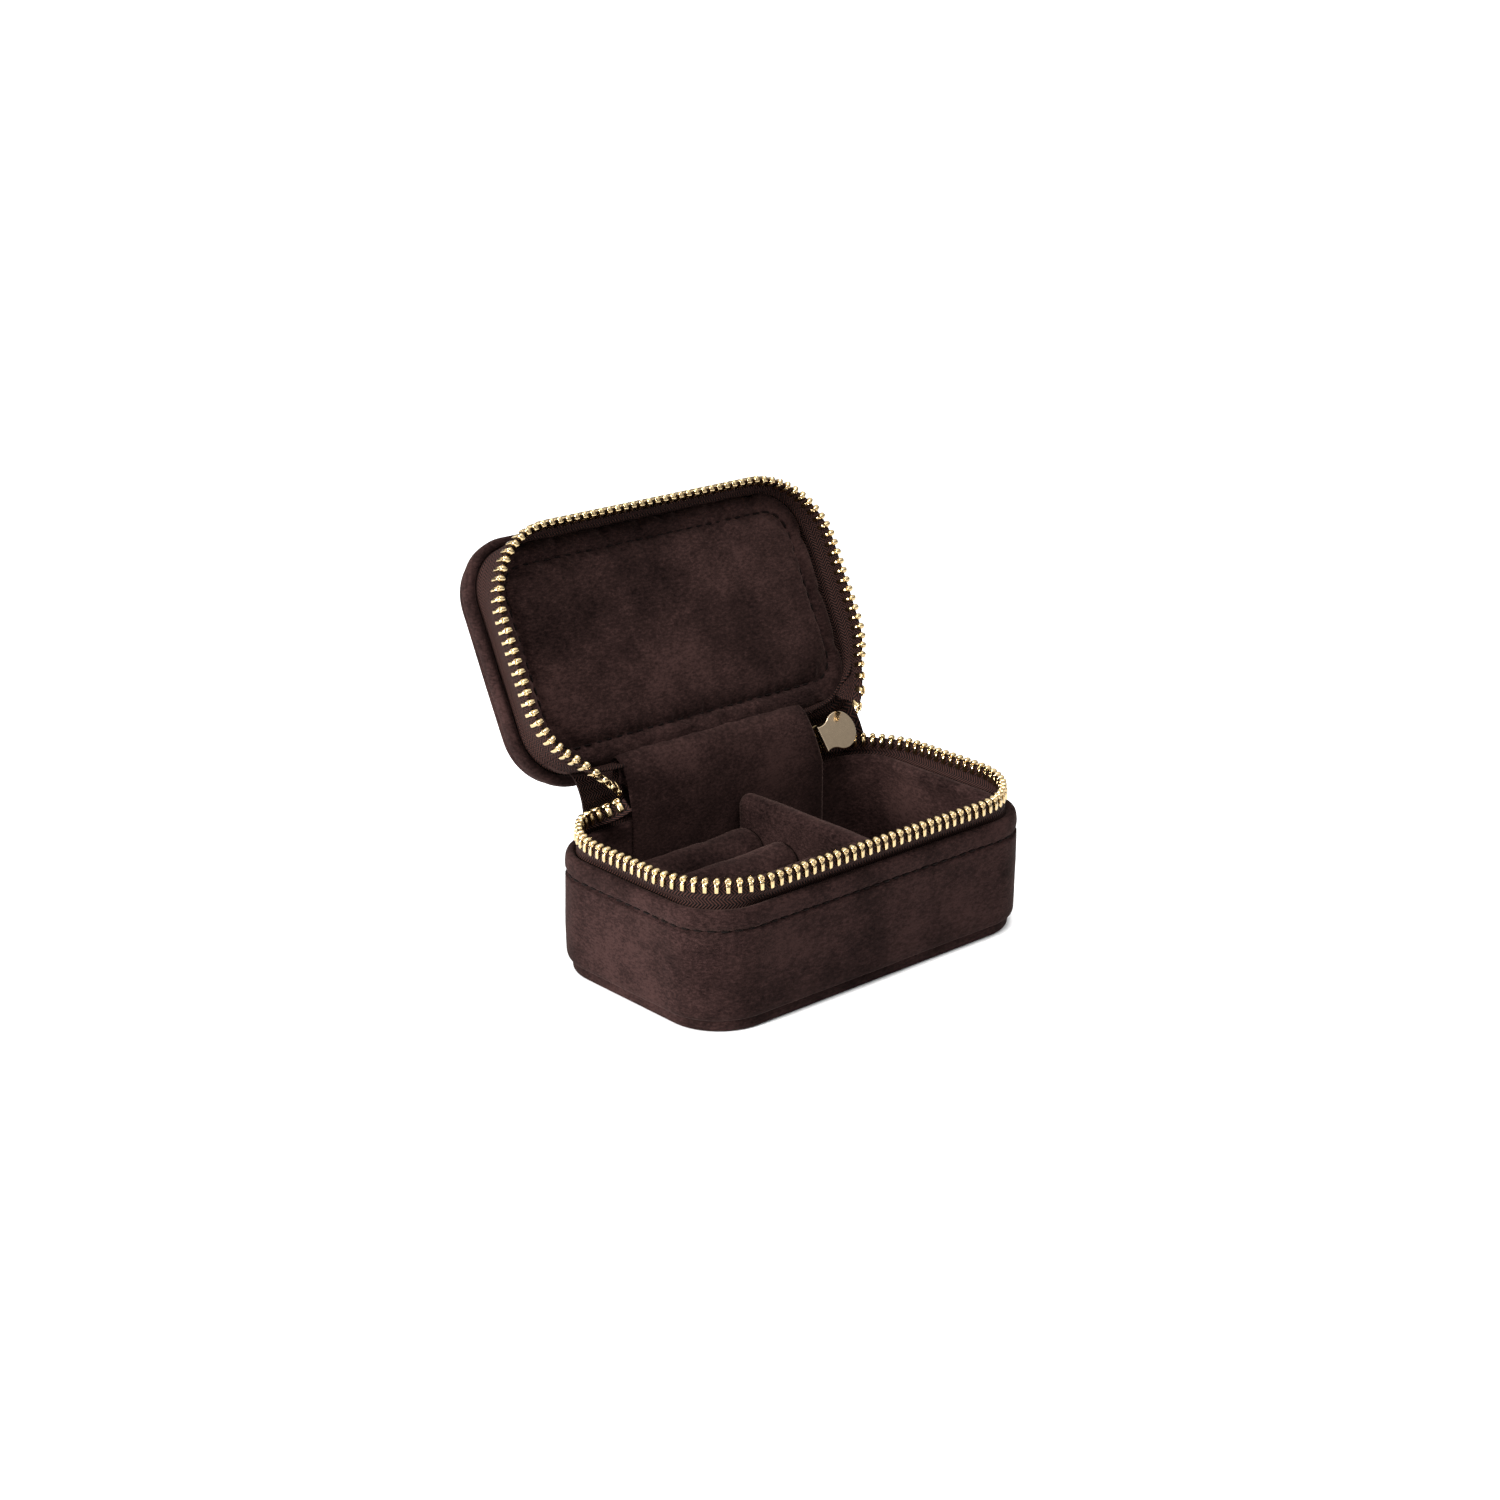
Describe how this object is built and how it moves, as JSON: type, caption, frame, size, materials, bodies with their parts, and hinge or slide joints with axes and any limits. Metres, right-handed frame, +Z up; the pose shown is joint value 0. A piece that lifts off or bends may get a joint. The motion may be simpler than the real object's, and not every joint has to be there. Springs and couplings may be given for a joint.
{
  "type": "travel jewelry case",
  "caption": "Small rounded velvet jewelry case with a zip-around hinged lid, padded ring rolls and an open compartment.",
  "frame": {"origin": "middle of the underside of the base plate", "axes": "+X along the case to the right, +Y to the back where the lid is hinged, +Z up"},
  "size_m": [0.1006, 0.0918, 0.095],
  "materials": {
    "outer_velvet": "dark brown short-pile velvet",
    "lining_velvet": "dark brown short-pile velvet, softer nap",
    "zip_tape": "woven herringbone tape, reddish brown",
    "thread": "twisted polyester thread, dark brown",
    "gold_metal": "polished light champagne gold plating",
    "card_board": "grey board",
    "foam": "open-cell foam"
  },
  "bodies": {
    "root": {"base_floor_board": "card_board", "base_floor_pad": "lining_velvet", "base_lining_board": "card_board", "base_lining_cover": "lining_velvet", "base_plate_board": "card_board", "base_plate_cover": "outer_velvet", "base_wall_board": "card_board", "base_wall_cover": "outer_velvet", "base_wall_stitching": "thread", "base_zip_end_stop": "gold_metal", "base_zip_tape": "zip_tape", "base_zip_teeth": "gold_metal", "divider_board": "card_board", "divider_cover": "lining_velvet", "hinge_strip_inner": "lining_velvet", "hinge_strip_outer": "outer_velvet", "ring_roll_front_cover": "lining_velvet", "ring_roll_front_foam": "foam", "ring_roll_front_middle_cover": "lining_velvet", "ring_roll_front_middle_foam": "foam", "ring_roll_rear_cover": "lining_velvet", "ring_roll_rear_foam": "foam", "ring_roll_rear_middle_cover": "lining_velvet", "ring_roll_rear_middle_foam": "foam", "zip_bottom_box": "gold_metal"},
    "lid": {"lid_panel_board": "card_board", "lid_panel_cover": "lining_velvet", "lid_panel_foam": "foam", "lid_panel_stitching": "thread", "lid_plate_board": "card_board", "lid_plate_cover": "outer_velvet", "lid_wall_board": "card_board", "lid_wall_cover": "outer_velvet", "lid_zip_end_stop": "gold_metal", "lid_zip_tape": "zip_tape", "lid_zip_teeth": "gold_metal"},
    "slider": {"zip_slider": "gold_metal"},
    "pull": {"zip_pull_tab": "gold_metal", "zip_pull_pin": "gold_metal"}
  },
  "joints": [
    {"name": "lid_hinge", "type": "hinge", "parent": "root", "child": "lid", "pos_m": [0, 0.0283, 0.041], "axis": [1, 0, 0], "range_deg": [0, 117], "deforming": ["hinge_strip_inner"]},
    {"name": "zip_slide", "type": "slide", "parent": "root", "child": "slider", "axis": [1, 0, 0], "range_m": [0, 0.001]},
    {"name": "pull_swing", "type": "hinge", "parent": "slider", "child": "pull", "pos_m": [0.03159, 0.02504, 0.03502], "axis": [0.1564, -0.4637, -0.8721], "range_deg": [0, 16]}
  ]
}
